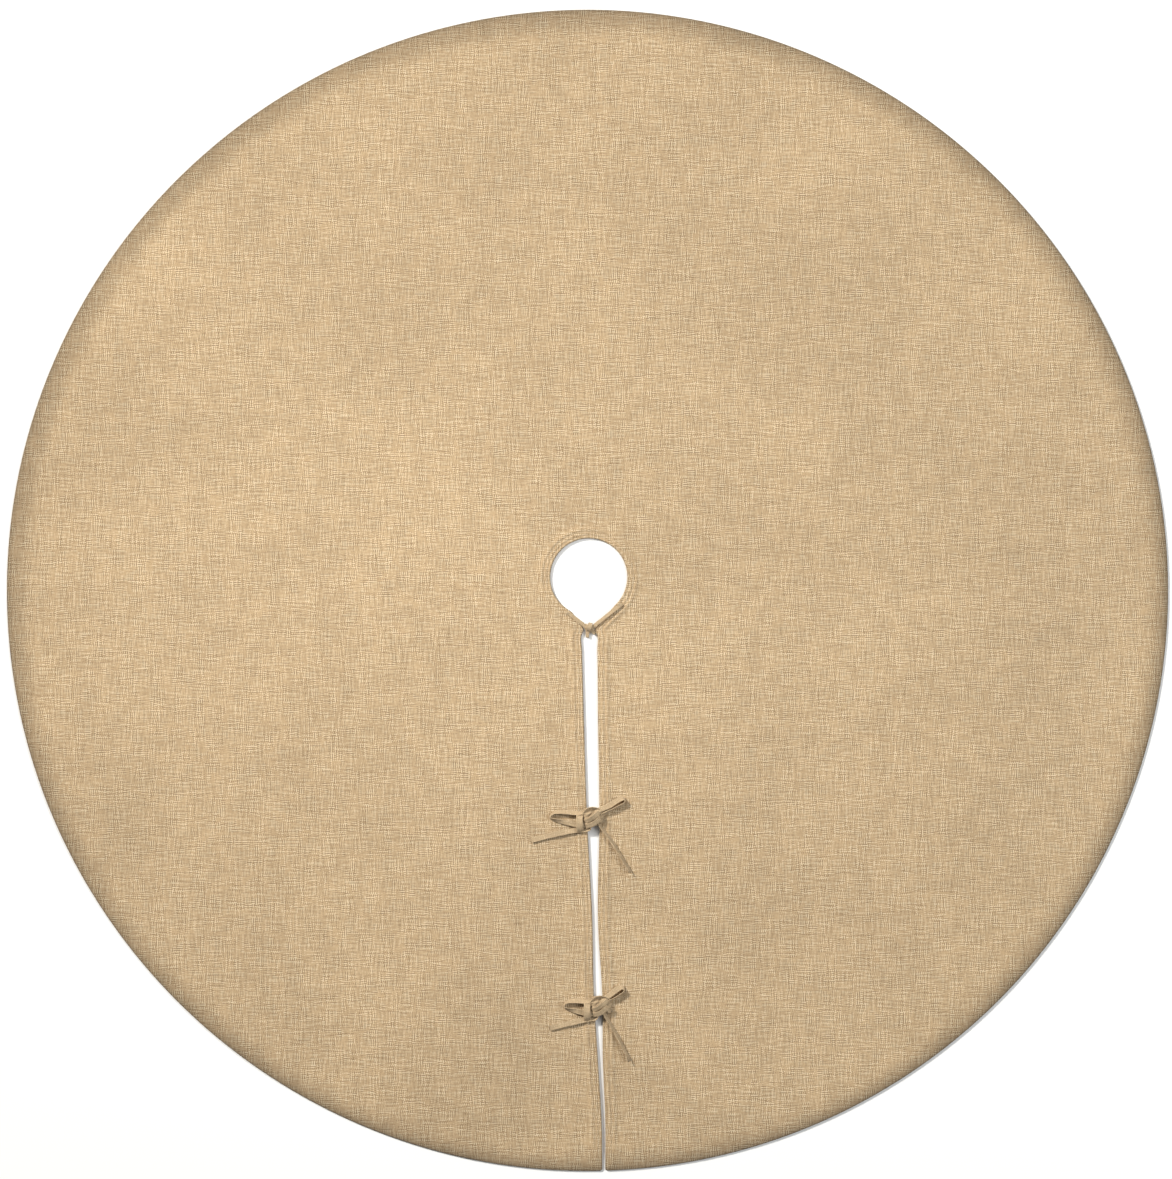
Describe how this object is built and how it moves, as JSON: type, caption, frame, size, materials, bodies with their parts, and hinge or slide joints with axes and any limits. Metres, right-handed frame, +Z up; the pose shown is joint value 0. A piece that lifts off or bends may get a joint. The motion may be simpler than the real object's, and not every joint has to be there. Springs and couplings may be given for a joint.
{
  "type": "tree skirt",
  "caption": "Round two-layer woven cloth tree skirt with a neck hole, a slit to the rim closed by three pairs of tied strings, and front quarters that fold back.",
  "frame": {"origin": "centre of the disc, on the underside of the lining", "axes": "+Z up out of the face cloth; the slit runs from the neck hole towards -Y; +X is to the right seen from above with the slit at the bottom"},
  "size_m": [1.2192, 1.2192, 0.0107],
  "materials": {
    "face_cloth": "matt heathered linen-look burlap weave",
    "lining_cloth": "matt plain weave, a little warmer and plainer than the face",
    "tie_string": "folded strips of the same weave, greyer where handled",
    "sewing_thread": "spun polyester thread"
  },
  "bodies": {
    "back_half": {"lining_back": "lining_cloth", "face_cloth_back": "face_cloth", "topstitch_back": "sewing_thread", "neck_seam_back": "sewing_thread", "rim_seam_back": "sewing_thread"},
    "front_left": {"lining_front_left": "lining_cloth", "face_cloth_front_left": "face_cloth", "topstitch_front_left": "sewing_thread", "edge_seam_front_left": "sewing_thread", "neck_string_left": "tie_string", "neck_tack_left": "sewing_thread", "middle_string_left": "tie_string", "middle_tack_left": "sewing_thread", "lower_string_left": "tie_string", "lower_tack_left": "sewing_thread"},
    "front_right": {"lining_front_right": "lining_cloth", "face_cloth_front_right": "face_cloth", "topstitch_front_right": "sewing_thread", "edge_seam_front_right": "sewing_thread", "neck_string_right": "tie_string", "neck_tack_right": "sewing_thread", "middle_string_right": "tie_string", "middle_tack_right": "sewing_thread", "lower_string_right": "tie_string", "lower_tack_right": "sewing_thread"}
  },
  "joints": [
    {"name": "left_quarter_fold", "type": "hinge", "parent": "back_half", "child": "front_left", "pos_m": [0, 0.014, 0.0036], "axis": [-1, 0, 0], "range_deg": [0, 165]},
    {"name": "right_quarter_fold", "type": "hinge", "parent": "back_half", "child": "front_right", "pos_m": [0, 0.014, 0.0036], "axis": [-1, 0, 0], "range_deg": [0, 165]}
  ]
}
